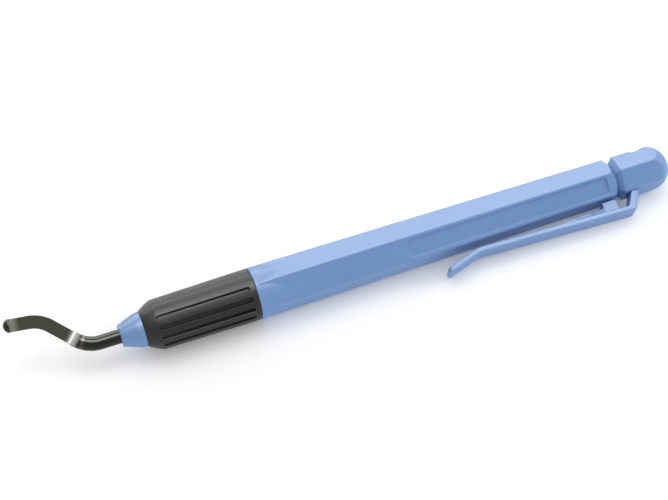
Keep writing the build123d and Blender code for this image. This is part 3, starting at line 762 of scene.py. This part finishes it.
link(lines.outputs["Fac"], thin.inputs["Value"])
link(thin.outputs["Result"], g_out.inputs["Scratch"])
print("groups:", [g.name for g in bpy.data.node_groups])

# %% [markdown]
# ## The blue plastic
#
# The handle is a satin thermoplastic: a clear mid blue with a soft broad shine and a little light
# that scatters inside it. The colour drifts faintly in broad clouds, and a paler blue is painted
# along the edges as a painted highlight. The fine grain of the mould and a few light scratches
# break up the shine.

# %% Blue plastic
def srgb(red, green, blue):
    """Linear colour, with alpha, from display values of 0 to 255."""
    c = np.array([red, green, blue]) / 255
    return (*np.where(c <= 0.04045, c / 12.92, ((c + 0.055) / 1.055) ** 2.4), 1.0)


def new_material(name):
    """Empty node material with its Principled shader."""
    material = bpy.data.materials.new(name)
    material.use_nodes = True
    tree = material.node_tree
    return material, tree, tree.nodes["Principled BSDF"]


def use_group(tree, group, values):
    """Places a shared group in a material, with the values of its input sockets."""
    return add_node(tree, "ShaderNodeGroup", values, node_tree=group)


def feed(tree, node, values):
    """Gives each named input of a node its value, or a link if the value is a socket."""
    for key, value in values.items():
        if isinstance(value, bpy.types.NodeSocket):
            tree.links.new(value, node.inputs[key])
        else:
            node.inputs[key].default_value = value


def mix_colour(tree, factor, first, second):
    """Mixes two colours, each a value or a socket, by a factor socket or number."""
    node = add_node(tree, "ShaderNodeMix", data_type="RGBA")
    feed(tree, node, {"Factor": factor, "A": first, "B": second})
    return node.outputs["Result"]


def remap(tree, value, low, high, new_low, new_high):
    """Maps a socket's value from one range to another, clamped."""
    node = add_node(tree, "ShaderNodeMapRange", {
        "From Min": low, "From Max": high, "To Min": new_low, "To Max": new_high})
    tree.links.new(value, node.inputs["Value"])
    return node.outputs["Result"]


def bump(tree, height, distance, strength, normal=None):
    """Bump node on a height socket, chained after another normal if there is one."""
    node = add_node(tree, "ShaderNodeBump", {"Strength": strength, "Distance": distance})
    tree.links.new(height, node.inputs["Height"])
    if normal is not None:
        tree.links.new(normal, node.inputs["Normal"])
    return node.outputs["Normal"]


def add_up(tree, first, second):
    """Sum of two sockets."""
    node = add_node(tree, "ShaderNodeMath", operation="ADD")
    feed(tree, node, {0: first, 1: second})
    return node.outputs["Value"]


def blue_plastic():
    material, tree, shader = new_material("satin_blue_plastic")
    grain = use_group(tree, grain_group, {"Fine scale": 6000.0, "Cloud scale": 45.0})
    edge_wear_and_highlight = use_group(tree, edge_group, {"Low": 0.505, "High": 0.56, "Breakup": 150.0})
    scratch = use_group(tree, scratch_group, {"Scale": 500.0})
    base = mix_colour(tree, grain.outputs["Cloud"], srgb(104, 142, 194), srgb(110, 148, 200))
    # Painted highlight: along the edges the blue is lightened towards a pale blue, where shine lies
    # on the rounded ridges
    wear_and_highlight_share = remap(tree, edge_wear_and_highlight.outputs["Edge"], 0, 1, 0, 0.35)
    base_with_painted_edge_highlight = mix_colour(tree, wear_and_highlight_share, base, srgb(160, 186, 226))
    rough = remap(tree, grain.outputs["Cloud"], 0.3, 0.7, 0.36, 0.44)
    rough = add_up(tree, rough, remap(tree, scratch.outputs["Scratch"], 0, 1, 0, 0.08))
    normal = bump(tree, grain.outputs["Grain"], 0.00003, 0.25)
    normal = bump(tree, scratch.outputs["Scratch"], 0.00001, 0.2, normal)
    feed(tree, shader, {
        "Base Color": base_with_painted_edge_highlight, "Roughness": rough, "Normal": normal, "IOR": 1.5,
        "Subsurface Weight": 0.12, "Subsurface Radius": (0.3, 0.5, 1.0),
        "Subsurface Scale": 0.0012})
    return material


blue = blue_plastic()

# %% [markdown]
# ## The black grip
#
# The grip is a harder black plastic with a sheen: dark, slightly warm, and grainy, with dust and
# small shiny specks on its lands. A coarse grain in the bump scatters the highlight.

# %% Black grip
def black_grip():
    material, tree, shader = new_material("black_grip_plastic")
    grain = use_group(tree, grain_group, {"Fine scale": 3500.0, "Cloud scale": 120.0})
    edge_wear_and_highlight = use_group(tree, edge_group, {"Low": 0.51, "High": 0.6, "Breakup": 400.0})
    base = mix_colour(tree, grain.outputs["Cloud"], srgb(27, 29, 24), srgb(36, 38, 32))
    wear_and_highlight_share = remap(tree, edge_wear_and_highlight.outputs["Edge"], 0, 1, 0, 0.5)
    base = mix_colour(tree, wear_and_highlight_share, base, srgb(84, 86, 80))
    dust = remap(tree, grain.outputs["Specks"], 0, 1, 0, 0.15)
    base = mix_colour(tree, dust, base, srgb(120, 122, 118))
    rough = remap(tree, grain.outputs["Cloud"], 0.3, 0.7, 0.34, 0.46)
    normal = bump(tree, grain.outputs["Grain"], 0.00006, 0.35)
    feed(tree, shader, {"Base Color": base, "Roughness": rough, "Normal": normal, "IOR": 1.38})
    return material


black = black_grip()

# %% [markdown]
# ## The metals and the rubber
#
# The blade is hardened steel with a brown-black oxide. With the blade's two attributes the ground
# flat is a dull grey, with a painted reflection that lightens it towards the tip, and the cutter's
# run-out is painted bright as a painted reflection in its hollow.
# Inside the tool a turned steel holder, a bronze bush and polished balls have their own finishes.

# %% Metals and rubber
def black_oxide():
    material, tree, shader = new_material("black_oxide_steel")
    grain = use_group(tree, grain_group, {"Fine scale": 4000.0, "Cloud scale": 300.0})
    edge_wear_and_highlight = use_group(tree, edge_group, {"Low": 0.52, "High": 0.62, "Breakup": 500.0})
    ground = add_node(tree, "ShaderNodeAttribute", attribute_name="ground").outputs["Fac"]
    travel = add_node(tree, "ShaderNodeAttribute", attribute_name="travel").outputs["Fac"]
    oxide_colour = mix_colour(tree, grain.outputs["Cloud"], srgb(30, 29, 23), srgb(44, 43, 36))
    wear_and_highlight_share = remap(tree, edge_wear_and_highlight.outputs["Edge"], 0, 1, 0, 0.6)
    oxide_colour = mix_colour(tree, wear_and_highlight_share, oxide_colour, srgb(120, 118, 106))
    # Painted reflection: the ground flat lightens towards the tip, and the run-out is painted as
    # bright steel
    near_tip = remap(tree, travel, 0.86, 0.97, 0, 1)
    flat_colour = mix_colour(tree, near_tip, srgb(54, 54, 46), srgb(112, 116, 102))
    in_run_out = remap(tree, travel, -0.15, 0.03, 1, 0)
    ground_with_painted_reflection = mix_colour(tree, in_run_out, flat_colour, srgb(158, 158, 153))
    colour = mix_colour(tree, ground, oxide_colour, ground_with_painted_reflection)
    rough = remap(tree, grain.outputs["Cloud"], 0.3, 0.7, 0.22, 0.32)
    rough = add_up(tree, rough, remap(tree, ground, 0, 1, 0, 0.12))
    normal = bump(tree, grain.outputs["Grain"], 0.00003, 0.3)
    feed(tree, shader, {"Base Color": colour, "Roughness": rough, "Normal": normal,
                        "Metallic": 0.9, "Coat Weight": 0.3})
    return material


def metal(name, dark, light, low, high, scale):
    """Turned or polished metal: its colour and roughness drift, and fine rings lie in the bump."""
    material, tree, shader = new_material(name)
    grain = use_group(tree, grain_group, {"Fine scale": scale, "Cloud scale": 200.0})
    scratch = use_group(tree, scratch_group, {"Scale": 900.0, "Stretch": 4.0})
    colour = mix_colour(tree, grain.outputs["Cloud"], dark, light)
    rough = remap(tree, grain.outputs["Cloud"], 0.3, 0.7, low, high)
    normal = bump(tree, grain.outputs["Grain"], 0.00001, 0.3)
    normal = bump(tree, scratch.outputs["Scratch"], 0.00001, 0.3, normal)
    feed(tree, shader, {
        "Base Color": colour, "Roughness": rough, "Normal": normal, "Metallic": 1.0})
    return material


def rubber():
    material, tree, shader = new_material("seal_rubber")
    grain = use_group(tree, grain_group, {"Fine scale": 5000.0, "Cloud scale": 300.0})
    colour = mix_colour(tree, grain.outputs["Cloud"], srgb(22, 22, 22), srgb(34, 34, 35))
    rough = remap(tree, grain.outputs["Cloud"], 0.3, 0.7, 0.5, 0.65)
    normal = bump(tree, grain.outputs["Grain"], 0.00002, 0.4)
    feed(tree, shader, {"Base Color": colour, "Roughness": rough, "Normal": normal})
    return material


oxide = black_oxide()
steel = metal("turned_steel", srgb(150, 150, 148), srgb(178, 178, 176), 0.25, 0.35, 3000.0)
bronze = metal("sintered_bronze", srgb(150, 108, 60), srgb(176, 134, 84), 0.4, 0.55, 5000.0)
polished = metal("polished_steel", srgb(205, 206, 208), srgb(220, 221, 223), 0.06, 0.12, 3000.0)
seal = rubber()


def finish_with(material, *objects):
    """Puts one material on objects, in place of any that they came with."""
    for obj in objects:
        obj.data.materials.clear()
        obj.data.materials.append(material)


nodes = frame["nodes"]
finish_with(blue, nose, body, cap, clip)
finish_with(black, grip)
finish_with(oxide, blade)
finish_with(steel, nodes["blade_holder"], nodes["thrust_plug"])
finish_with(bronze, nodes["nose_bush"])
finish_with(polished, nodes["detent_balls"], nodes["detent_spring"], nodes["thrust_ball"])
finish_with(seal, nodes["cap_seal_ring"])
print("materials:", sorted(m.name for m in bpy.data.materials if m.users))

# %% [markdown]
# ## The table and the light
#
# The tool lies on a plain white table. Its axis isn't quite level there: it rests on the handle's
# round front just behind the grip, on the rear corner of the clip and on one ridge of the cap. The
# face of its convex hull that lies under its middle gives that plane. The white room and two weak
# softboxes light everything. Two strips add shine only, because diffuse light doesn't see them.
# They give the upper facets their pale sheen.

# %% Table plane
cloud_points = np.concatenate([
    np.array([v.co for v in obj.data.vertices]) for obj in (grip, body, cap, clip, nose, blade)])
hull = bmesh.new()
for point in np.unique(np.round(cloud_points[cloud_points[:, 2] < -2 * MM], 7), axis=0):
    hull.verts.new(point)
hull.verts.new((0.06, 0.0, 0.05))  # one point high up closes the hull over the tool's underside
bmesh.ops.convex_hull(hull, input=hull.verts)
centre = Vector((62 * MM, cloud_points[:, 1].mean(), 0))
below = []
for face in hull.faces:
    normal = face.normal if face.normal.z < 0 else -face.normal
    if normal.z < -0.98:
        flat_face = [Vector((v.co.x, v.co.y, 0)) for v in face.verts]
        crossings = [(flat_face[n] - flat_face[n - 1]).cross(centre - flat_face[n - 1]).z
                     for n in range(len(flat_face))]
        if all(c >= 0 for c in crossings) or all(c <= 0 for c in crossings):
            below.append((face.calc_area(), normal.copy(), face.verts[0].co.copy(),
                          [[round(c / MM, 2) for c in v.co] for v in face.verts]))
hull.free()
_, table_normal, table_point, contacts = max(below)
table_normal = -table_normal
print("table touches at", contacts, "normal", [round(v, 4) for v in table_normal])

size = 1.5
turn = Vector((0, 0, 1)).rotation_difference(table_normal).to_matrix()
middle = table_point - table_normal * 0.00002
steps = 25
sx, sy = np.meshgrid(np.linspace(-size, size, steps), np.linspace(-size, size, steps))
table_grid = np.stack([sx, sy, 0 * sx], -1).reshape(-1, 3) @ np.array(turn).T + np.array(middle)
i, j = np.meshgrid(np.arange(steps - 1), np.arange(steps - 1), indexing="ij")
first = i * steps + j
cells = np.stack([first, first + 1, first + steps + 1, first + steps], -1)
table_mesh = bpy.data.meshes.new("table")
table_mesh.from_pydata(table_grid.tolist(), [], cells.reshape(-1, 4).tolist())
table = bpy.data.objects.new("table", table_mesh)
bpy.context.scene.collection.objects.link(table)
table_material, tree, shader = new_material("white_table")
feed(tree, shader, {"Base Color": (0.95, 0.95, 0.95, 1), "Roughness": 0.7,
                    "Emission Color": (1, 1, 1, 1), "Emission Strength": 0.1})
table_mesh.materials.append(table_material)

# %% Lights and world
def softbox(name, location, target, width, height, power):
    """Rectangular area light that faces a point."""
    light = bpy.data.lights.new(name, "AREA")
    light.shape, light.size, light.size_y = "RECTANGLE", width, height
    light.energy = power
    lamp = bpy.data.objects.new(name, light)
    lamp.location = location
    lamp.rotation_euler = (Vector(target) - Vector(location)).to_track_quat("-Z", "Y").to_euler()
    bpy.context.scene.collection.objects.link(lamp)
    return lamp


softbox("overhead", (0.05, 0.2, 0.6), (0.06, 0, 0), 0.7, 0.3, 0.6)
softbox("right_side", (0.75, -0.1, 0.35), (0.08, 0, 0), 0.4, 0.4, 1.8)
back_strip = softbox("back_strip", (0.06, 0.45, 0.27), (0.06, 0, 0), 0.9, 0.25, 4.4)
top_strip = softbox("top_strip", (0.06, 0.0, 0.6), (0.06, 0, 0), 0.9, 0.3, 8.0)
for strip in (back_strip, top_strip):
    strip.visible_diffuse = False
world = bpy.data.worlds.new("white_room")
world.use_nodes = True
world.node_tree.nodes["Background"].inputs["Color"].default_value = (1, 1, 1, 1)
world.node_tree.nodes["Background"].inputs["Strength"].default_value = 0.72
bpy.context.scene.world = world
bpy.context.scene.view_settings.view_transform = "Standard"
